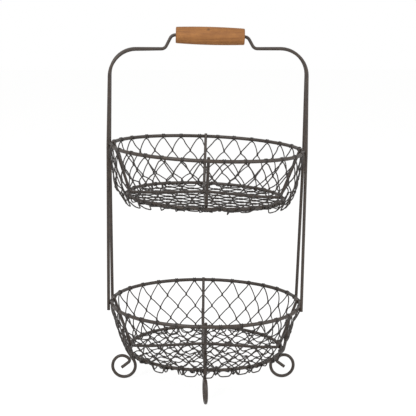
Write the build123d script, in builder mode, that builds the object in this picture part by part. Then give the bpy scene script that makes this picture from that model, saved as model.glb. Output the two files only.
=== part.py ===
from build123d import *
from math import acos, asin, atan2, cos, degrees, hypot, radians, sin, sqrt, tan
import os

os.makedirs("parts", exist_ok=True)

# A two-tier carrying basket of bent and welded wire with a turned wooden grip.
# Millimetres, +Z up, the origin on the floor under the middle of the handle.
# The handle spans X, and the front of the basket faces -Y.

# Clearances shared by the whole basket
weld_sink = 0.1
rest_gap = 0.1
grip_play = 0.3

# Basket frame, the same in both tiers
rim_radius = 123.0
rim_wire = 4.6
floor_ring_radius = 100.3
floor_ring_wire = 4.2
basket_depth = 61.85
rib_wire = 3.8
rib_bend_radius = 5.0
rib_floor_height = 0.9
rib_end_rise = 1.6
rib_bow_start_share = 0.7
rib_bow_radius = 150.0

# Where the two rims sit. Each basket leans a little to the right, as bent by hand.
lower_rim_height = 104.0
lower_rim_offset = -2.4
lower_lean = 0.9
upper_rim_height = 307.4
upper_rim_offset = -0.6
upper_lean = 2.4
lower_cross_rib_offset = -1.5

# Netting of thin wire
netting_wire = 1.2
netting_twist_gap = 0.16
netting_bend_radius = 2.6
netting_cells = 32
hook_tail = 2.4
hook_bend_share = 0.9
floor_mesh_width = 18.6
floor_mesh_rings = 6
upper_netting_turn_share = 0.5
lower_netting_turn_share = 0.25
floor_netting_seat = 1.0
wall_turn_shares = [(0.173, 0.97, 1), (0.519, 0.745, -1), (0.714, 0.51, 1), (0.881, 0.27, -1)]

# Handle of two bent wires
leg_wire = 4.0
leg_spread_at_upper_rim = 18.0
right_leg_spread_at_lower_rim = 35.0
left_leg_spread_at_lower_rim = 20.5
right_leg_set_back = 1.0
left_leg_set_back = 7.5
right_leg_end_drop = 3.2
left_leg_end_drop = 9.3
leg_top_lean_in = 2.6
leg_bend_radius = 200.0
shoulder_height = 433.6
corner_bend_radius = 34.0
right_jog_foot_reach = 59.0
right_jog_head_reach = 51.0
left_jog_foot_reach = 54.0
left_jog_head_reach = 45.0
jog_bend_radius = 7.0
grip_height = 449.7
grip_slope = 1.6

# Turned wooden grip
grip_length = 87.0
grip_middle_diameter = 22.8
grip_end_diameter = 20.5
grip_edge_round = 1.2
grip_offset = 3.4

# Looped feet
foot_wire = 4.1
left_foot_reach = 107.2
right_foot_reach = 102.0
middle_foot_reach = 104.0
front_foot_turn = 5.0
foot_loop_radius = 15.0
foot_curl_radius = 11.5
foot_stem_reach = 25.0
foot_stem_drop = 3.0
foot_stem_bend_radius = 8.0
foot_end_bend_radius = 3.5
foot_end_reach = 5.0
foot_stub_length = 15.5
foot_curl_start = 45.0
foot_curl_turn = 90.0
foot_stub_dip = 37.0

# Rib outline, measured from the basket's axis and from the floor ring's plane.
# Its wall stretch touches the rim from inside, and its bend rests against the floor ring.
rib_to_rim = (rim_wire + rib_wire) / 2 - weld_sink
rib_to_ring = (floor_ring_wire + rib_wire) / 2 - weld_sink
rib_bend_height = rib_floor_height + rib_bend_radius
rib_bend_reach = floor_ring_radius - sqrt((rib_bend_radius + rib_to_ring) ** 2 - rib_bend_height**2)
rib_run = rim_radius - rib_bend_reach
rib_rise = basket_depth - rib_bend_height
rib_lean = atan2(rib_run, rib_rise) - asin((rib_bend_radius + rib_to_rim) / hypot(rib_run, rib_rise))
rib_corner_reach = rib_bend_reach + rib_bend_radius * (cos(rib_lean) - (1 - sin(rib_lean)) * tan(rib_lean))
rib_top_height = basket_depth + rim_wire / 2 + rib_end_rise
rib_top_reach = rib_corner_reach + (rib_top_height - rib_floor_height) * tan(rib_lean)
rib_bow_rise = rib_wire + rest_gap
rib_bow_lean = atan2(rib_bow_rise, rib_corner_reach * rib_bow_start_share)
rib_crown_height = rib_floor_height + rib_bow_rise + rib_bow_radius * (1 / cos(rib_bow_lean) - 1)

# Foot outline, in the same measures. The stem lies outside the floor ring and the rib.
stem_to_ring = (floor_ring_wire + foot_wire) / 2 - weld_sink
stem_to_rib = (rib_wire + foot_wire) / 2 - weld_sink
stem_top_reach = (
    rib_corner_reach
    + (foot_stem_reach - rib_floor_height) * tan(rib_lean)
    + stem_to_rib * cos(rib_lean)
)
stem_top_height = foot_stem_reach - stem_to_rib * sin(rib_lean)
stem_top_out = stem_top_reach - floor_ring_radius
stem_lean = atan2(stem_top_out, stem_top_height) - asin(stem_to_ring / hypot(stem_top_out, stem_top_height))


def basket_plane(rim_offset, rim_height, lean, drop):
    # A plane square to a basket's own axis, the given drop below its rim.
    axis = Vector(sin(radians(lean)), 0, cos(radians(lean)))
    centre = Vector(rim_offset, 0, rim_height) - axis * drop
    return Plane(origin=centre, x_dir=(cos(radians(lean)), 0, -sin(radians(lean))), z_dir=axis)


def side_of(plane):
    # The upright plane through a basket's left and right, with its second axis up.
    return Plane(origin=plane.origin, x_dir=plane.x_dir, z_dir=-plane.y_dir)


def front_of(plane):
    # The upright plane through a basket's front and back, with its second axis up.
    return Plane(origin=plane.origin, x_dir=plane.y_dir, z_dir=plane.x_dir)


lower_rim_plane = basket_plane(lower_rim_offset, lower_rim_height, lower_lean, 0)
upper_rim_plane = basket_plane(upper_rim_offset, upper_rim_height, upper_lean, 0)
lower_ring_plane = basket_plane(lower_rim_offset, lower_rim_height, lower_lean, basket_depth)
upper_ring_plane = basket_plane(upper_rim_offset, upper_rim_height, upper_lean, basket_depth)


def rim_contact(rim_plane, hand, spread):
    # The middle of a leg wire where it lies against the outside of a rim.
    reach = rim_radius + (rim_wire + leg_wire) / 2 - weld_sink
    return rim_plane.from_local_coords(Vector(hand * sqrt(reach**2 - spread**2), spread, 0))


def leg_points(hand, side):
    # The blunt end of one leg, its slight bend inwards at the upper rim, and its top corner.
    spread = right_leg_spread_at_lower_rim if hand > 0 else left_leg_spread_at_lower_rim
    set_back = right_leg_set_back if hand > 0 else left_leg_set_back
    end_drop = right_leg_end_drop if hand > 0 else left_leg_end_drop
    lower = rim_contact(lower_rim_plane, hand, side * spread + set_back)
    upper = rim_contact(upper_rim_plane, hand, side * leg_spread_at_upper_rim)
    slope = (upper - lower) * (1 / (upper.Z - lower.Z))
    corner = lower + slope * (shoulder_height - lower.Z) - Vector(hand * leg_top_lean_in, 0, 0)
    return [lower - slope * end_drop, upper, corner]


def grip_axis_height(reach):
    # The grip's axis slopes down to the right, and the wires through it with it.
    return grip_height - (reach - grip_offset) * tan(radians(grip_slope))


def make_handle_wire(label, side):
    middle = side * (leg_wire + rest_gap) / 2
    right = leg_points(1, side)
    right.append(Vector(right_jog_foot_reach, middle, shoulder_height))
    right.append(Vector(right_jog_head_reach, middle, grip_axis_height(right_jog_head_reach)))
    left = leg_points(-1, side)
    left.append(Vector(-left_jog_foot_reach, middle, shoulder_height))
    left.append(Vector(-left_jog_head_reach, middle, grip_axis_height(-left_jog_head_reach)))
    route = right + left[::-1]
    bends = [leg_bend_radius, corner_bend_radius, jog_bend_radius, jog_bend_radius]
    with BuildPart() as wire:
        with BuildLine() as path:
            FilletPolyline(*route, radius=bends + bends[::-1])
        with BuildSketch(Plane(path.line @ 0, z_dir=path.line % 0)):
            Circle(leg_wire / 2)
        sweep(path=path.line)
    wire.part.label = label
    export_step(wire.part, f"parts/{label}.step")


def make_ring(label, plane, radius, wire_diameter):
    with BuildPart() as ring:
        with BuildSketch(side_of(plane)):
            with Locations((radius, 0)):
                Circle(wire_diameter / 2)
        revolve(axis=Axis(plane.origin, plane.z_dir))
    ring.part.label = label
    export_step(ring.part, f"parts/{label}.step")


def make_rib(label, plane, crown_height):
    # A U of wire in the given upright plane. The rib that crosses on top bows up over the other.
    right = [(rib_corner_reach, rib_floor_height), (rib_top_reach, rib_top_height)]
    bends = [rib_bend_radius]
    if crown_height > rib_floor_height:
        right.insert(0, (rib_corner_reach * rib_bow_start_share, rib_floor_height))
        right.insert(0, (0, crown_height))
        bends = [rib_bow_radius, rib_bow_radius, rib_bend_radius]
    left = [(-reach, height) for reach, height in reversed(right) if reach > 0]
    all_bends = bends[::-1] + bends
    if crown_height > rib_floor_height:
        all_bends = bends[::-1] + bends[1:]
    with BuildPart() as rib:
        with BuildLine(plane) as path:
            FilletPolyline(*left, *right, radius=all_bends)
        with BuildSketch(Plane(path.line @ 0, z_dir=path.line % 0)):
            Circle(rib_wire / 2)
        sweep(path=path.line)
    rib.part.label = label
    export_step(rib.part, f"parts/{label}.step")


def make_wall_wire(turn, hand):
    # One zigzag wire, from its end under the floor ring up to its hook over the rim.
    # It leans from one side of its lane to the other and meets a neighbour at each turn.
    half_lane = radians(180 / netting_cells) / 2
    beside = (netting_wire + netting_twist_gap) / 2
    clear = rest_gap + netting_wire / 2
    out = rim_radius + rim_wire / 2 + clear
    inside = rim_radius - rim_wire / 2 - clear
    over = rim_wire / 2 + clear
    under = basket_depth + floor_ring_wire / 2 + netting_wire + rest_gap + clear
    around_ring = floor_ring_radius + floor_ring_wire
    stations = [
        (floor_ring_radius - floor_ring_wire, -under, 1),
        (around_ring, -under, 1),
    ]
    for reach_share, drop_share, side in wall_turn_shares:
        reach = around_ring + (rim_radius - around_ring) * reach_share
        stations.append((reach, -basket_depth * drop_share, side))
    stations += [(out, -over, 1), (out, over, 1), (inside, over, 1), (inside, -hook_tail, 1)]
    route = []
    for reach, height, side in stations:
        angle = radians(turn) + hand * side * (half_lane - asin(beside / reach))
        route.append((reach * cos(angle), reach * sin(angle), height))
    bends = [netting_bend_radius] * (len(route) - 4) + [over * hook_bend_share] * 2
    with BuildPart() as wire:
        with BuildLine() as path:
            FilletPolyline(*route, radius=bends)
        with BuildSketch(Plane(path.line @ 0, z_dir=path.line % 0)):
            Circle(netting_wire / 2)
        sweep(path=path.line)
    return wire.part


def make_wall_netting(label, rim_plane, turn_share):
    # The zigzag wires all the way round, in pairs of opposite hands.
    cell = 360 / netting_cells
    first_turn = cell * turn_share
    right_wire = make_wall_wire(first_turn - cell / 4, 1)
    left_wire = make_wall_wire(first_turn + cell / 4, -1)
    with BuildPart(rim_plane) as netting:
        with PolarLocations(0, netting_cells):
            add(right_wire)
            add(left_wire)
    netting.part.label = label
    export_step(netting.part, f"parts/{label}.step")


def make_floor_netting(label, ring_plane):
    # A flat mesh with six-sided holes, its rim just under the floor ring.
    top = -floor_ring_wire / 2 - rest_gap
    hole_edge = floor_ring_radius - floor_netting_seat
    outer_edge = floor_ring_radius
    with BuildSketch() as holes:
        with HexLocations(floor_mesh_width / 2, floor_mesh_rings * 2 + 1, floor_mesh_rings * 2 + 1):
            RegularPolygon((floor_mesh_width - netting_wire) / 2, 6, major_radius=False)
        Circle(hole_edge, mode=Mode.INTERSECT)
    with BuildPart() as netting:
        with BuildSketch(ring_plane.offset(top - netting_wire)):
            Circle(outer_edge)
            add(holes.sketch_local, mode=Mode.SUBTRACT)
        extrude(amount=netting_wire)
    netting.part.label = label
    export_step(netting.part, f"parts/{label}.step")


def make_foot(label, direction, loop_reach, sideways=0, turn=0):
    # A stem down past the floor ring, an upright loop, a curl inside it and a straight blunt stub.
    # Reach is measured outwards from the basket's axis, and height from the floor.
    # The foot may stand to one side of the axis and be turned about its stem.
    along = radians(direction)
    facing = radians(direction + turn)
    ring_centre = lower_ring_plane.origin
    origin_x = ring_centre.X + sideways + floor_ring_radius * (cos(along) - cos(facing))
    origin_y = ring_centre.Y + floor_ring_radius * (sin(along) - sin(facing))
    plane = Plane(
        origin=(origin_x, origin_y, 0),
        x_dir=(cos(facing), sin(facing), 0),
        z_dir=(sin(facing), -cos(facing), 0),
    )
    lean = radians(lower_lean) * cos(along)

    def beside_basket(reach, height):
        # A point fixed to the leaning basket, turned into the foot's own plane.
        tilted_reach = reach * cos(lean) + height * sin(lean)
        return tilted_reach, ring_centre.Z + height * cos(lean) - reach * sin(lean)

    loop_height = foot_loop_radius + foot_wire / 2
    bend = beside_basket(
        floor_ring_radius + stem_to_ring * cos(stem_lean) - foot_stem_drop * sin(stem_lean),
        -stem_to_ring * sin(stem_lean) - foot_stem_drop * cos(stem_lean),
    )
    bend_out = bend[0] - loop_reach
    bend_up = bend[1] - loop_height
    loop_start = degrees(atan2(bend_up, bend_out) + acos(foot_loop_radius / hypot(bend_out, bend_up)))
    touch = (
        loop_reach + foot_loop_radius * cos(radians(loop_start)),
        loop_height + foot_loop_radius * sin(radians(loop_start)),
    )
    shift = foot_loop_radius - foot_curl_radius
    curl_reach = loop_reach + shift * cos(radians(foot_curl_start))
    curl_height = loop_height + shift * sin(radians(foot_curl_start))
    with BuildPart() as foot:
        with BuildLine(plane) as path:
            FilletPolyline(
                beside_basket(stem_top_reach, stem_top_height),
                bend,
                touch,
                radius=foot_stem_bend_radius,
            )
            CenterArc(
                (loop_reach, loop_height),
                foot_loop_radius,
                loop_start,
                360 + foot_curl_start - loop_start,
            )
            curl_end = foot_curl_start + foot_curl_turn
            CenterArc((curl_reach, curl_height), foot_curl_radius, foot_curl_start, foot_curl_turn)
            curl_tip = (
                curl_reach + foot_curl_radius * cos(radians(curl_end)),
                curl_height + foot_curl_radius * sin(radians(curl_end)),
            )
            heading = radians(curl_end + 90)
            elbow = (
                curl_tip[0] + foot_end_reach * cos(heading),
                curl_tip[1] + foot_end_reach * sin(heading),
            )
            stub_end = (
                elbow[0] + foot_stub_length * cos(radians(foot_stub_dip)),
                elbow[1] - foot_stub_length * sin(radians(foot_stub_dip)),
            )
            FilletPolyline(curl_tip, elbow, stub_end, radius=foot_end_bend_radius)
        with BuildSketch(Plane(path.line @ 0, z_dir=path.line % 0)):
            Circle(foot_wire / 2)
        sweep(path=path.line)
    foot.part.label = label
    export_step(foot.part, f"parts/{label}.step")


# Handle wires
make_handle_wire("handle_wire_front", -1)
make_handle_wire("handle_wire_rear", 1)

# Turned grip, thickest in the middle, bored through for the two wires
grip_bore_radius = (leg_wire + rest_gap) / 2 + leg_wire / 2 + grip_play
grip_turn = radians(grip_slope)
grip_plane = Plane(
    origin=(grip_offset, 0, grip_height),
    x_dir=(cos(grip_turn), 0, -sin(grip_turn)),
    z_dir=(0, -1, 0),
)
with BuildPart() as wooden_grip:
    with BuildSketch(grip_plane):
        with BuildLine():
            left_bore = (-grip_length / 2, grip_bore_radius)
            left_top = (-grip_length / 2, grip_end_diameter / 2)
            right_top = (grip_length / 2, grip_end_diameter / 2)
            right_bore = (grip_length / 2, grip_bore_radius)
            Line(left_bore, left_top)
            ThreePointArc(left_top, (0, grip_middle_diameter / 2), right_top)
            Line(right_top, right_bore)
            Line(right_bore, left_bore)
        make_face()
        fillet(vertices().group_by(Axis.Y)[-1], grip_edge_round)
    revolve(axis=Axis(grip_plane.origin, grip_plane.x_dir))
wooden_grip.part.label = "wooden_grip"
export_step(wooden_grip.part, "parts/wooden_grip.step")

# The two baskets
tiers = [
    ("upper", upper_rim_plane, upper_ring_plane, upper_netting_turn_share, 0),
    ("lower", lower_rim_plane, lower_ring_plane, lower_netting_turn_share, lower_cross_rib_offset),
]
for tier, rim_plane, ring_plane, turn_share, rib_offset in tiers:
    make_ring(f"{tier}_rim", rim_plane, rim_radius, rim_wire)
    make_ring(f"{tier}_floor_ring", ring_plane, floor_ring_radius, floor_ring_wire)
    make_rib(f"{tier}_side_rib", side_of(ring_plane), rib_crown_height)
    make_rib(f"{tier}_cross_rib", front_of(ring_plane).offset(rib_offset), rib_floor_height)
    make_wall_netting(f"{tier}_wall_netting", rim_plane, turn_share)
    make_floor_netting(f"{tier}_floor_netting", ring_plane)

# Feet, one below each rib end
make_foot("foot_right", 0, right_foot_reach)
make_foot("foot_rear", 90, middle_foot_reach, lower_cross_rib_offset)
make_foot("foot_left", 180, left_foot_reach)
make_foot("foot_front", 270, middle_foot_reach, lower_cross_rib_offset, front_foot_turn)
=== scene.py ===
import bpy
from math import cos, pi, radians, sin, sqrt, tau
from mathutils import Matrix, Vector
from random import Random


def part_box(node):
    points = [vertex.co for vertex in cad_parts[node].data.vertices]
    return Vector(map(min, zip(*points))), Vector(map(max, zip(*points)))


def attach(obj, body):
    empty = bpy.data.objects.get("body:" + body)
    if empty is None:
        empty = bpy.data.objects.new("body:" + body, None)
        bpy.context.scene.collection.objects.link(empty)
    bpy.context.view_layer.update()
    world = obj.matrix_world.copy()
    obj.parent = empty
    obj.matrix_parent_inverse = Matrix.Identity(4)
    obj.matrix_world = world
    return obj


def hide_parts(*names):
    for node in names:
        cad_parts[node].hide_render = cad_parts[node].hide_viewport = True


# A tiered basket of lacquered wire with a turned wooden grip.
# Metres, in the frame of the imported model: +Z up, the front towards -Y.

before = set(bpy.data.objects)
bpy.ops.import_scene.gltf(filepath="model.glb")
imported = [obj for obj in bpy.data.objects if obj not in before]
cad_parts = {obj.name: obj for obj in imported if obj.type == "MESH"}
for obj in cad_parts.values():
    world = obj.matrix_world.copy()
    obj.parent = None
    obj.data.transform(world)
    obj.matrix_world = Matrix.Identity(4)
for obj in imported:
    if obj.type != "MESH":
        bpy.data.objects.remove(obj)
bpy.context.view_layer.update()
MM = 0.001

# Basket sizes, the same in both tiers
RIM_RADIUS = 123.0 * MM
RIM_WIRE = 4.6 * MM
FLOOR_RING_RADIUS = 100.3 * MM
FLOOR_RING_WIRE = 4.2 * MM
BASKET_DEPTH = 61.85 * MM

# Where each basket's rim sits: its offset, its height and its lean in degrees
TIERS = {
    "upper": (-0.6 * MM, 307.4 * MM, 2.4),
    "lower": (-2.4 * MM, 104.0 * MM, 0.9),
}

# Netting wire, and the twists where two wires meet
NETTING_WIRE = 1.63 * MM
TWIST_RADIUS = 0.7 * MM
TWIST_STEPS = 7
WALL_TWIST = 3.3 * MM

# Hooks over the rim: where each starts and ends round the rim's section, in degrees, how deep it
# beds into the coat, how far it stands from its partner, and its blunt tail inside
HOOK_STEPS = 8
HOOK_START = 215
HOOK_END = -65
HOOK_SINK = 0.75 * MM
HOOK_GAP = 0.72 * MM
HOOK_SPREAD = 0.9 * MM
HOOK_TAIL = 0.9 * MM
HOOK_TAIL_SIDE = 0.3 * MM
HOOK_TAIL_STRAY = 0.6 * MM

# How each wire leaves the rim, as millimetres beside and below its hook: in round arches on the
# upper basket, nearly straight on the lower one
RIM_ARCH = {
    "upper": [(1.0, 3.3), (2.6, 4.1), (4.3, 6.0)],
    "lower": [(1.0, 3.3), (2.0, 4.3), (3.3, 6.2)],
}
ARCH_OUT = 0.4 * MM
ARCH_STRAY = 0.2

# The close turns of wire that tie a wall netting to its floor ring at each last twist
TIE_TURNS = 2
TIE_WIDTH = 3.4 * MM
TIE_STEPS = 8
TIE_SINK = 0.6 * MM
TIE_WIDTH_STRAY = 0.3
TIE_TURN_STRAY = 2.0

# Cells round each wall netting, and how far its hooks stand from even places, in degrees: all
# of them, then by the cosine and sine of the angle, then by those of twice the angle
NETTING_CELLS = {"upper": 29, "lower": 30}
HOOK_SHIFTS = {"upper": (-4.19, 0.85, 0.79, 0.98, 1.62), "lower": (1.55, 0.02, -0.48, 0.81, -0.94)}

# The bowl that each wall netting follows, row by row down to its hem: reach from the axis and
# drop below the rim, at the front and back, then at the left, then at the right
WALL_ROWS = {
    "upper": [((122.6, 4.4), (122.6, 4.4), (122.6, 4.4)),
              ((121.6, 19.4), (121.8, 20.0), (121.0, 20.0)),
              ((118.2, 34.4), (118.2, 35.6), (118.0, 35.6)),
              ((113.0, 48.6), (114.6, 50.6), (113.8, 50.6)),
              ((106.6, 59.6), (110.2, 63.2), (110.2, 62.4)),
              ((101.0, 65.4), (102.4, 73.6), (105.0, 71.6))],
    "lower": [((122.6, 4.4), (122.6, 4.4), (122.6, 4.4)),
              ((120.0, 19.8), (119.6, 19.8), (115.8, 19.8)),
              ((115.4, 35.0), (114.6, 35.2), (112.0, 35.2)),
              ((110.2, 49.2), (109.0, 49.8), (107.4, 49.8)),
              ((105.6, 60.6), (103.6, 61.8), (101.8, 61.8)),
              ((103.2, 70.6), (99.4, 69.6), (98.6, 67.4))],
}

# How much more crumpled the netting is at the sides than at the front
SIDE_LOOSENESS = {"upper": 1.6, "lower": 0.6}

# How far single meetings stray: degrees of turn, then millimetres of reach and drop. The first
# of each pair holds all over, and the second grows down the wall and towards the sides.
TURN_STRAY = (0.6, 0.5)
REACH_STRAY = (0.2, 0.9)
DROP_STRAY = (0.3, 1.3)

# The free stretches between two twists: how far they bulge out and sway, and how round they run,
# each with its stray
WALL_BULGE = (0.8, 0.5)
WALL_SWAY = 0.6
WALL_ROUNDNESS = (0.84, 0.1)
WALL_STEPS = 4

# The hem: how many of its loops hang clear of the floor ring, at the front and at the sides,
# where the others tuck in, and the loop's outline from the last twist to its lowest point
HANGING_SHARES = {"upper": (0.2, 0.9), "lower": (0.95, 0.0)}
TUCKED_HEM = (97.5, 64.6)
HEM_LOOP = [(0.16, 0.3), (0.25, 0.55), (0.36, 0.8), (0.55, 0.96), (0.78, 1.0), (1.0, 1.0)]
HEM_TURN_STRAY = 0.8
HANGING_STRAY = 0.8
TUCKED_STRAY = 0.2

# How many of the last twists end in a small bent tail below the floor ring, in the same way, and
# the millimetres that its top and its tip stand outside and below the ring
TAIL_SHARES = {"upper": (0.0, 0.0), "lower": (0.8, 0.0)}
TAIL_TOP = (2.6, 1.2)
TAIL_TIP = (1.8, 2.6)
TAIL_HALF_WIDTH = (3.0, 0.8)
TAIL_DEPTH = (4.0, 1.2)

# Floor nettings, in millimetres: how deep they sag, how far their meetings stop short of the
# ring, how far the free stretches swell beside, along and above with their stray, and how their
# ends turn out, droop, seat against the ring and come up round it
FLOOR_SAG = 2.0
FLOOR_MARGIN = 3.0
FLOOR_SWELL = (0.3, 0.0, -0.3)
FLOOR_SWELL_STRAY = (0.35, 0.5, 1.0)
FLOOR_HEIGHT = (-0.1, 0.6)
FLOOR_ROUNDNESS = 0.8
FLOOR_STEPS = 3
SHORTEST_WIRE = 8
END_TURN_OUT = 0.8
END_DROOP = (-3.0, 4.5)
END_SEAT = 0.4
END_RISE = 1.2


def linear(code):
    # An sRGB hex colour as the linear colour that a shader takes.
    channels = [int(code[i:i + 2], 16) / 255 for i in (1, 3, 5)]
    return [c / 12.92 if c <= 0.04045 else ((c + 0.055) / 1.055) ** 2.4 for c in channels] + [1]


def add_node(material, kind, inputs=None, **settings):
    node = material.node_tree.nodes.new(kind)
    for name, value in settings.items():
        setattr(node, name, value)
    for socket, value in (inputs or {}).items():
        if isinstance(value, bpy.types.NodeSocket):
            material.node_tree.links.new(value, node.inputs[socket])
        else:
            node.inputs[socket].default_value = value
    return node


def new_material(name):
    material = bpy.data.materials.new(name)
    material.use_nodes = True
    material.node_tree.nodes.clear()
    return material


def finish_material(material, surface):
    add_node(material, "ShaderNodeOutputMaterial", {"Surface": surface})
    return material


# Materials

def lacquered_wire(name, dark, light, mottle_mm):
    # Drawn steel wire dipped in dark brown lacquer. The coat is satin and a little uneven,
    # thin on the high side and darker where it pooled, with fine dust nibs under the shine.
    material = new_material(name)
    place = add_node(material, "ShaderNodeTexCoord").outputs["Object"]
    mottle = add_node(material, "ShaderNodeTexNoise",
                      {"Vector": place, "Scale": 1 / (mottle_mm * MM), "Detail": 3.0, "Roughness": 0.6})
    spread = add_node(material, "ShaderNodeMapRange",
                      {"Value": mottle.outputs["Fac"], "From Min": 0.3, "From Max": 0.7})
    colour = add_node(material, "ShaderNodeMix",
                      {"Factor": spread.outputs["Result"], "A": linear(dark), "B": linear(light)},
                      data_type="RGBA")
    sheen = add_node(material, "ShaderNodeMapRange",
                     {"Value": mottle.outputs["Fac"], "From Min": 0.3, "From Max": 0.7,
                      "To Min": 0.38, "To Max": 0.56})
    nib_width, nib_height = 0.9 * MM, 0.12 * MM
    nibs = add_node(material, "ShaderNodeTexNoise",
                    {"Vector": place, "Scale": 1 / nib_width, "Detail": 2.0})
    bump = add_node(material, "ShaderNodeBump",
                    {"Height": nibs.outputs["Fac"], "Strength": 0.25, "Distance": nib_height})
    coat = add_node(material, "ShaderNodeBsdfPrincipled",
                    {"Base Color": colour.outputs["Result"], "Roughness": sheen.outputs["Result"],
                     "Normal": bump.outputs["Normal"], "IOR": 1.5})
    return finish_material(material, coat.outputs["BSDF"])


def turned_beech(name):
    # Beech turned on a lathe and wiped with tan varnish: long soft streaks of grain along the
    # grip, short dark flecks, a small knot near the top, and a darker band towards each end.
    grain_width, grain_height, cloud_size, fleck_width = 2.6 * MM, 0.15 * MM, 14 * MM, 0.7 * MM
    knot_core, knot_halo = 0.7 * MM, 3.0 * MM
    end_dark_inset, end_fade = 0.2 * MM, 1.6 * MM
    material = new_material(name)
    place = add_node(material, "ShaderNodeTexCoord").outputs["Object"]
    low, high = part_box("wooden_grip")
    middle = [(a + b) / 2 for a, b in zip(low, high)]
    centred = add_node(material, "ShaderNodeVectorMath",
                       {0: place, 1: middle}, operation="SUBTRACT").outputs["Vector"]
    along = add_node(material, "ShaderNodeMapping",
                     {"Vector": centred, "Scale": (0.06, 1.0, 1.0)}).outputs["Vector"]
    grain = add_node(material, "ShaderNodeTexNoise",
                     {"Vector": along, "Scale": 1 / grain_width, "Detail": 5.0, "Roughness": 0.62})
    grain_spread = add_node(material, "ShaderNodeMapRange",
                            {"Value": grain.outputs["Fac"], "From Min": 0.32, "From Max": 0.68})
    wood = add_node(material, "ShaderNodeMix",
                    {"Factor": grain_spread.outputs["Result"], "A": linear("#805124"),
                     "B": linear("#a16c37")}, data_type="RGBA")
    cloud = add_node(material, "ShaderNodeTexNoise",
                     {"Vector": centred, "Scale": 1 / cloud_size, "Detail": 2.0})
    cloud_spread = add_node(material, "ShaderNodeMapRange",
                            {"Value": cloud.outputs["Fac"], "From Min": 0.4, "From Max": 0.72,
                             "To Min": 0.0, "To Max": 0.45})
    clouded = add_node(material, "ShaderNodeMix",
                       {"Factor": cloud_spread.outputs["Result"], "A": wood.outputs["Result"],
                        "B": linear("#744722")}, data_type="RGBA")
    fleck_place = add_node(material, "ShaderNodeMapping",
                           {"Vector": centred, "Scale": (0.22, 1.0, 1.0)}).outputs["Vector"]
    flecks = add_node(material, "ShaderNodeTexNoise",
                      {"Vector": fleck_place, "Scale": 1 / fleck_width, "Detail": 2.0})
    fleck_spread = add_node(material, "ShaderNodeMapRange",
                            {"Value": flecks.outputs["Fac"], "From Min": 0.6, "From Max": 0.72,
                             "To Min": 0.0, "To Max": 0.55})
    flecked = add_node(material, "ShaderNodeMix",
                       {"Factor": fleck_spread.outputs["Result"], "A": clouded.outputs["Result"],
                        "B": linear("#6d4424")}, data_type="RGBA")
    knot_at = (-2.3 * MM, -7.7 * MM, 8.3 * MM)
    from_knot = add_node(material, "ShaderNodeVectorMath",
                         {0: centred, 1: knot_at}, operation="DISTANCE").outputs["Value"]
    knot = add_node(material, "ShaderNodeMapRange",
                    {"Value": from_knot, "From Min": knot_core, "From Max": knot_halo,
                     "To Min": 0.85, "To Max": 0.0})
    knotted = add_node(material, "ShaderNodeMix",
                       {"Factor": knot.outputs["Result"], "A": flecked.outputs["Result"],
                        "B": linear("#5f3c20")}, data_type="RGBA")
    split = add_node(material, "ShaderNodeSeparateXYZ", {"Vector": centred})
    from_middle = add_node(material, "ShaderNodeMath", {0: split.outputs["X"]}, operation="ABSOLUTE")
    half = (high[0] - low[0]) / 2
    # Darker towards each end of the grip, fading in over the last few millimetres.
    end = add_node(material, "ShaderNodeMapRange",
                   {"Value": from_middle.outputs["Value"], "From Min": half - end_fade,
                    "From Max": half - end_dark_inset, "To Min": 0.0, "To Max": 0.6})
    ended = add_node(material, "ShaderNodeMix",
                     {"Factor": end.outputs["Result"], "A": knotted.outputs["Result"],
                      "B": linear("#6b4526")}, data_type="RGBA")
    bump = add_node(material, "ShaderNodeBump",
                    {"Height": grain.outputs["Fac"], "Strength": 0.3, "Distance": grain_height})
    varnish = add_node(material, "ShaderNodeBsdfPrincipled",
                       {"Base Color": ended.outputs["Result"], "Roughness": 0.72,
                        "Normal": bump.outputs["Normal"], "IOR": 1.5})
    return finish_material(material, varnish.outputs["BSDF"])


frame_coat = lacquered_wire("dark_brown_lacquered_frame_wire", "#271e19", "#3b3027", 5.0)
netting_coat = lacquered_wire("dark_brown_lacquered_netting_wire", "#1b1512", "#2d251f", 3.0)
grip_wood = turned_beech("turned_beech_tan_varnish")

for node_name, node_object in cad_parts.items():
    coat = grip_wood if node_name == "wooden_grip" else frame_coat
    for material_slot in node_object.material_slots:
        material_slot.material = coat


# Netting

def basket_matrix(tier):
    # From a basket's own measures, with its rim in the plane z = 0, to the model's.
    offset, height, lean = TIERS[tier]
    return Matrix.Translation((offset, 0, height)) @ Matrix.Rotation(radians(lean), 4, "Y")


def wire_piece(name, routes, matrix, wire):
    # Bent wires along the given routes, made as round curves and turned into one mesh.
    curve = bpy.data.curves.new(name, "CURVE")
    curve.dimensions = "3D"
    curve.bevel_depth = wire / 2
    curve.bevel_resolution = 1
    curve.use_fill_caps = True
    for route in routes:
        spline = curve.splines.new("POLY")
        spline.points.add(len(route) - 1)
        for point, place in zip(spline.points, route):
            point.co = (*(matrix @ place), 1)
    piece = bpy.data.objects.new(name, curve)
    bpy.context.collection.objects.link(piece)
    bpy.ops.object.select_all(action="DESELECT")
    piece.select_set(True)
    bpy.context.view_layer.objects.active = piece
    bpy.ops.object.convert(target="MESH")
    bpy.ops.object.shade_smooth()
    piece.data.materials.clear()
    piece.data.materials.append(netting_coat)
    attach(piece, "frame")
    return piece


def smoothed(corners, steps=3):
    # A smooth run through the given points.
    run = []
    for i in range(len(corners) - 1):
        before = corners[max(i - 1, 0)]
        start, end = corners[i], corners[i + 1]
        after = corners[min(i + 2, len(corners) - 1)]
        for step in range(steps):
            t = step / steps
            run.append(0.5 * (2 * start + (end - before) * t
                              + (2 * before - 5 * start + 4 * end - after) * t**2
                              + (3 * start - before - 3 * end + after) * t**3))
    return run + [corners[-1]]


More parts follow.
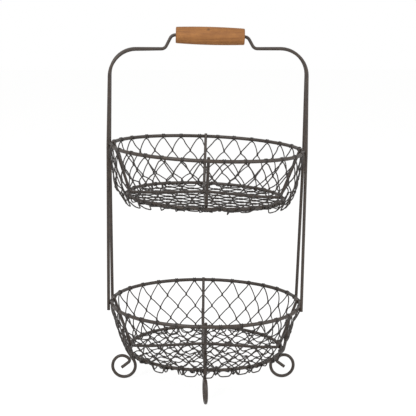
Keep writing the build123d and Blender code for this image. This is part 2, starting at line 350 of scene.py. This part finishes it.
def twist(centre, across, down, out, side, length, turns=1):
    # One wire's share of a twist: it winds round its neighbour and leaves on its own side.
    steps = TWIST_STEPS * turns
    points = []
    for step in range(steps + 1):
        share = step / steps
        phase = (pi if side < 0 else 0) + tau * turns * share
        points.append(centre + down * length * (share - 0.5)
                      + (across * cos(phase) + out * sin(phase)) * TWIST_RADIUS)
    return points


def hook_over_rim(turn, side, tail_in):
    # The end of a wire, wound over the rim from inside to outside. It starts at its blunt tail.
    out = Vector((cos(turn), sin(turn), 0))
    along = Vector((-sin(turn), cos(turn), 0)) * side
    up = Vector((0, 0, 1))
    core = RIM_WIRE / 2 + NETTING_WIRE / 2 - HOOK_SINK
    points = []
    for step in range(HOOK_STEPS + 1):
        share = step / HOOK_STEPS
        phase = radians(HOOK_START + (HOOK_END - HOOK_START) * share)
        points.append(out * RIM_RADIUS + (out * cos(phase) + up * sin(phase)) * core
                      + along * (HOOK_GAP + HOOK_SPREAD * (1 - share)))
    tail = points[0] - up * HOOK_TAIL - out * tail_in + along * HOOK_TAIL_SIDE
    return [tail] + points


def shoulder(start, end, along_cell, roundness, bulge, count):
    # A free stretch of wire from one twist to the next: it leaves wide and comes in straight.
    points = []
    span = end - start
    sideways = along_cell * span.dot(along_cell)
    onwards = span - sideways
    for step in range(1, count + 1):
        share = step / (count + 1)
        points.append(start + sideways * share**roundness + onwards * share + bulge * sin(pi * share))
    return points


def ring_tie(turn, width):
    # Close turns of netting wire round the floor ring.
    core = (FLOOR_RING_WIRE + NETTING_WIRE) / 2 - TIE_SINK
    points = []
    for step in range(TIE_STEPS * TIE_TURNS + 1):
        share = step / (TIE_STEPS * TIE_TURNS)
        phase = tau * TIE_TURNS * share
        angle = turn + (share - 0.5) * width / FLOOR_RING_RADIUS
        reach = FLOOR_RING_RADIUS + core * cos(phase)
        points.append(Vector((reach * cos(angle), reach * sin(angle), core * sin(phase) - BASKET_DEPTH)))
    return points


def bent_tail(turn, half_width, depth):
    # A short end left over from a twist, bent into a V under the floor ring.
    out = Vector((cos(turn), sin(turn), 0))
    across = Vector((-sin(turn), cos(turn), 0))

    def beside_ring(place, lower):
        outside, below = place
        down = Vector((0, 0, BASKET_DEPTH + below * MM + lower))
        return out * (FLOOR_RING_RADIUS + outside * MM) - down

    top = beside_ring(TAIL_TOP, 0)
    tip = beside_ring(TAIL_TIP, depth)
    elbow = tip.lerp(top, 0.3)
    return smoothed([top - across * half_width, elbow - across * half_width * 0.4, tip,
                     elbow + across * half_width * 0.5, top + across * half_width], 2)


def wall_netting(tier, seed, looseness):
    # Pairs of wires twisted together once at every meeting, hung from the rim and closed
    # below the floor ring by rounded loops.
    chance = Random(seed)
    cells = NETTING_CELLS[tier]

    def shift():
        return chance.uniform(-1, 1)

    def turned(place):
        # The angle of a place that is counted in cells from the first hook.
        angle = place * tau / cells
        waves = (1, cos(angle), sin(angle), cos(2 * angle), sin(2 * angle))
        return angle + radians(sum(a * b for a, b in zip(HOOK_SHIFTS[tier], waves)))

    def bowl(row, angle):
        # Reach and drop of a row at an angle, between its front and its side.
        front, left, right = row
        side = cos(angle) ** 2
        return [a + (b - a) * side for a, b in zip(front, right if cos(angle) > 0 else left)]

    def strayed(sizes, amount=1):
        # A size with its stray, as a random draw.
        usual, stray = sizes
        return usual + stray * amount * shift()

    def share_at(shares, angle):
        # A share between its front and its side.
        front, side = shares
        return front + (side - front) * min(1, 2 * cos(angle) ** 2)

    *rows, hem_row = WALL_ROWS[tier]
    nodes = []
    for row, sizes in enumerate(rows):
        line = []
        for column in range(cells):
            angle = turned(column + (0.5 if row % 2 else 0.0))
            loose = looseness * (1 + SIDE_LOOSENESS[tier] * cos(angle) ** 2) * row / (len(rows) - 1)
            reach, drop = bowl(sizes, angle)
            line.append((angle + radians(TURN_STRAY[0] * looseness + TURN_STRAY[1] * loose) * shift(),
                         (reach + (REACH_STRAY[0] + REACH_STRAY[1] * loose) * shift()) * MM,
                         (drop + (DROP_STRAY[0] + DROP_STRAY[1] * loose) * shift()) * MM))
        nodes.append(line)
    hems = []
    for column in range(cells):
        angle = turned(column + (0.5 if len(rows) % 2 else 0.0))
        hangs = chance.random() < share_at(HANGING_SHARES[tier], angle)
        reach, drop = bowl(hem_row, angle)
        if not hangs:
            reach, drop = TUCKED_HEM
        hems.append((angle + radians(HEM_TURN_STRAY) * shift(), (reach + shift()) * MM,
                     (drop + (HANGING_STRAY if hangs else TUCKED_STRAY) * shift()) * MM))
    routes = []
    for lane in range(2 * cells):
        corners = []
        for row in range(len(rows)):
            column = (lane + 1) // 2 if row % 2 == 0 else lane // 2
            angle, reach, drop = nodes[row][column % cells]
            side = -1 if (lane % 2 == 1) == (row % 2 == 0) else 1
            across = Vector((-sin(angle), cos(angle), 0))
            out = Vector((cos(angle), sin(angle), 0))
            below = bowl(rows[min(row + 1, len(rows) - 1)], angle)
            above = bowl(rows[max(row - 1, 0)], angle)
            down = (out * (below[0] - above[0]) + Vector((0, 0, above[1] - below[1]))).normalized()
            outward = down.cross(across).normalized()
            outward *= 1 if outward.dot(out) > 0 else -1
            centre = out * reach - Vector((0, 0, drop))
            if row == 0:
                piece = hook_over_rim(angle, side, HOOK_TAIL_STRAY * shift())
                for sideways, lower in RIM_ARCH[tier]:
                    piece.append(out * (RIM_RADIUS + ARCH_OUT) + across * side * sideways * MM
                                 - Vector((0, 0, strayed((lower, ARCH_STRAY)) * MM)))
            else:
                piece = twist(centre, across, down, outward, side, WALL_TWIST)
            if corners:
                bulge = outward * strayed(WALL_BULGE, looseness) * MM
                bulge += across * WALL_SWAY * looseness * shift() * MM
                roundness = 1.0 if row == 1 else strayed(WALL_ROUNDNESS)
                corners += shoulder(corners[-1], piece[0], across, roundness, bulge, WALL_STEPS)
            corners += piece
        column = (lane + 1) // 2 if len(rows) % 2 == 0 else lane // 2
        angle, reach, drop = hems[column % cells]
        bottom = Vector((reach * cos(angle), reach * sin(angle), -drop))
        across = Vector((-sin(angle), cos(angle), 0))
        start = corners[-1]
        span = bottom - start
        sideways = across * span.dot(across)
        for sideways_share, down_share in HEM_LOOP:
            corners.append(start + sideways * sideways_share + (span - sideways) * down_share)
        routes.append(smoothed(corners, 2))
    for angle, reach, drop in nodes[-1]:
        routes.append(ring_tie(angle + radians(TIE_TURN_STRAY) * shift(),
                               TIE_WIDTH * strayed((1, TIE_WIDTH_STRAY))))
        if chance.random() < share_at(TAIL_SHARES[tier], angle):
            routes.append(bent_tail(angle, strayed(TAIL_HALF_WIDTH) * MM, strayed(TAIL_DEPTH) * MM))
    piece = wire_piece(f"{tier}_twisted_wall_netting", routes, basket_matrix(tier), NETTING_WIRE)
    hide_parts(f"{tier}_wall_netting")


def floor_netting(tier, seed, lane_pitch, row_pitch, heading, looseness, twist_length, turns):
    # A disc of the same twisted netting under the floor ring, sagging a little in the middle.
    # Its wires run along the given heading, and their ends hook up round the ring.
    chance = Random(seed)

    def shift():
        return chance.uniform(-1, 1)

    level = -BASKET_DEPTH - FLOOR_RING_WIRE / 2 - NETTING_WIRE
    columns = 2 * round(FLOOR_RING_RADIUS / lane_pitch) + 3
    rows = 2 * round(FLOOR_RING_RADIUS / row_pitch) + 1
    turn = Matrix.Rotation(radians(heading), 4, "Z")
    beside, along, below = Vector((1, 0, 0)), Vector((0, 1, 0)), Vector((0, 0, 1))
    nodes = {}
    for row in range(rows):
        for column in range(columns):
            x = (column - (columns - 1) / 2 + (0.5 if row % 2 else 0)) * lane_pitch
            y = (row - (rows - 1) / 2) * row_pitch
            from_axis = min(sqrt(x**2 + y**2) / FLOOR_RING_RADIUS, 1)
            sag = FLOOR_SAG * MM * (1 - from_axis**2)
            nodes[row, column] = Vector((x + looseness * shift(), y + looseness * shift(),
                                         level - sag + looseness * (FLOOR_HEIGHT[1] * shift()
                                                                    + FLOOR_HEIGHT[0])))
    routes = []
    for lane in range(2 * columns - 1):
        corners = []
        for row in range(rows + 1):
            column = (lane + 1) // 2 if row % 2 == 0 else lane // 2
            centre = nodes.get((row, column))
            if centre is None or centre.xy.length >= FLOOR_RING_RADIUS - FLOOR_MARGIN * MM:
                if len(corners) > SHORTEST_WIRE:
                    routes.append(floor_wire(corners, turn, chance))
                corners = []
                continue
            side = -1 if (lane % 2 == 1) == (row % 2 == 0) else 1
            piece = twist(centre, beside, along, below, side, twist_length, turns)
            if corners:
                swell = Vector((side * FLOOR_SWELL[0] + FLOOR_SWELL_STRAY[0] * shift(),
                                FLOOR_SWELL[1] + FLOOR_SWELL_STRAY[1] * shift(),
                                FLOOR_SWELL[2] + FLOOR_SWELL_STRAY[2] * shift()))
                corners += shoulder(corners[-1], piece[0], beside, FLOOR_ROUNDNESS,
                                    swell * looseness, FLOOR_STEPS)
            corners += piece
    piece = wire_piece(f"{tier}_twisted_floor_netting", routes, basket_matrix(tier), NETTING_WIRE)
    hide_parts(f"{tier}_floor_netting")


def floor_wire(corners, turn, chance):
    # One floor wire with both ends led out to the ring and turned up outside it.
    past_ring = FLOOR_RING_WIRE / 2 + NETTING_WIRE / 2

    def ending(last, previous):
        heading = last - previous
        heading.z = 0
        outwards = Vector((last.x, last.y, 0)).normalized()
        heading = (heading.normalized() + END_TURN_OUT * outwards).normalized()
        droop = max(chance.uniform(*END_DROOP), 0) * MM
        step_out = max(FLOOR_RING_RADIUS + past_ring - last.xy.length, MM)
        foot = last + heading * step_out
        foot.xy = foot.xy.normalized() * (FLOOR_RING_RADIUS + END_SEAT * MM)
        foot.z = -BASKET_DEPTH - past_ring - droop
        outside = foot.copy()
        outside.xy = foot.xy.normalized() * (FLOOR_RING_RADIUS + past_ring)
        outside.z = -BASKET_DEPTH - END_SEAT * MM
        return [foot, outside, outside + Vector((0, 0, END_RISE * MM))]

    head = ending(corners[0], corners[3])[::-1]
    tail = ending(corners[-1], corners[-4])
    return [turn @ point for point in smoothed(head + corners + tail, 2)]


wall_netting("upper", seed=11, looseness=1.0)
wall_netting("lower", seed=29, looseness=0.8)
floor_netting("upper", seed=5, lane_pitch=22.6 * MM, row_pitch=15.8 * MM, heading=90,
              looseness=0.4 * MM, twist_length=5.4 * MM, turns=2)
floor_netting("lower", seed=7, lane_pitch=15.2 * MM, row_pitch=13.6 * MM, heading=0,
              looseness=1.9 * MM, twist_length=4.6 * MM, turns=1)


# Camera, at the height and distance that the photograph was taken from

SENSOR = 36.0
IMAGE_WIDTH_PX = 416
FOCAL_PX = 1237.5
camera_distance = 1576.75 * MM
camera_height = 514.1 * MM
camera_side = 0.6 * MM
camera_tilt = 0.179
camera_azimuth = radians(0.9)

camera_data = bpy.data.cameras.new("studio_camera")
camera_data.sensor_width = SENSOR
camera_data.lens = FOCAL_PX / IMAGE_WIDTH_PX * SENSOR
camera = bpy.data.objects.new("studio_camera", camera_data)
camera.location = (camera_side - camera_distance * sin(camera_azimuth),
                   -camera_distance * cos(camera_azimuth), camera_height)
camera.rotation_euler = (pi / 2 - camera_tilt, 0, -camera_azimuth)
bpy.context.collection.objects.link(camera)
bpy.context.scene.camera = camera


# Studio

FLOOR_SIZE = 12


def background_share(material):
    # 1 for the rays that see the backdrop, directly or in a reflection, and 0 for those that light.
    rays = add_node(material, "ShaderNodeLightPath").outputs
    seen = rays["Is Camera Ray"]
    for kind in ("Is Glossy Ray", "Is Transmission Ray"):
        seen = add_node(material, "ShaderNodeMath", {0: seen, 1: rays[kind]},
                        operation="ADD", use_clamp=True).outputs["Value"]
    return seen


def studio_floor():
    # Matt pale board. It looks white to the camera and keeps a soft shadow.
    material = new_material("white_matt_studio_board")
    board = add_node(material, "ShaderNodeBsdfDiffuse", {"Color": linear("#f4f3f1")})
    dim_board = add_node(material, "ShaderNodeBsdfDiffuse", {"Color": linear("#8a8a89")})
    glow = add_node(material, "ShaderNodeEmission", {"Color": linear("#ffffff"), "Strength": 0.86})
    seen = add_node(material, "ShaderNodeAddShader",
                    {0: glow.outputs["Emission"], 1: dim_board.outputs["BSDF"]})
    mix = add_node(material, "ShaderNodeMixShader",
                   {"Fac": background_share(material), 1: board.outputs["BSDF"],
                    2: seen.outputs["Shader"]})
    finish_material(material, mix.outputs["Shader"])
    bpy.ops.object.select_all(action="DESELECT")
    bpy.ops.mesh.primitive_plane_add(size=FLOOR_SIZE)
    board_object = bpy.context.active_object
    board_object.name = "studio_floor"
    board_object.data.materials.append(material)


def soft_lamp(name, place, aim, size, power):
    lamp = bpy.data.lights.new(name, "AREA")
    lamp.shape = "SQUARE"
    lamp.size = size
    lamp.energy = power
    holder = bpy.data.objects.new(name, lamp)
    holder.location = place
    holder.rotation_euler = (Vector(aim) - Vector(place)).to_track_quat("-Z", "Y").to_euler()
    bpy.context.collection.objects.link(holder)


def studio_world():
    world = bpy.data.worlds.new("white_studio")
    world.use_nodes = True
    world.node_tree.nodes.clear()
    strength = add_node(world, "ShaderNodeMapRange",
                        {"Value": background_share(world), "To Min": 0.5, "To Max": 1.0})
    sky = add_node(world, "ShaderNodeBackground",
                   {"Color": linear("#ffffff"), "Strength": strength.outputs["Result"]})
    add_node(world, "ShaderNodeOutputWorld", {"Surface": sky.outputs["Background"]})
    bpy.context.scene.world = world


studio_floor()
studio_world()
basket_middle = (0, 0, 0.25)
soft_lamp("key_lamp", place=(-0.9, -1.3, 1.5), aim=basket_middle, size=0.9, power=26)
soft_lamp("fill_lamp", place=(1.4, -0.9, 0.9), aim=basket_middle, size=1.2, power=12)
bpy.context.scene.view_settings.view_transform = "Standard"
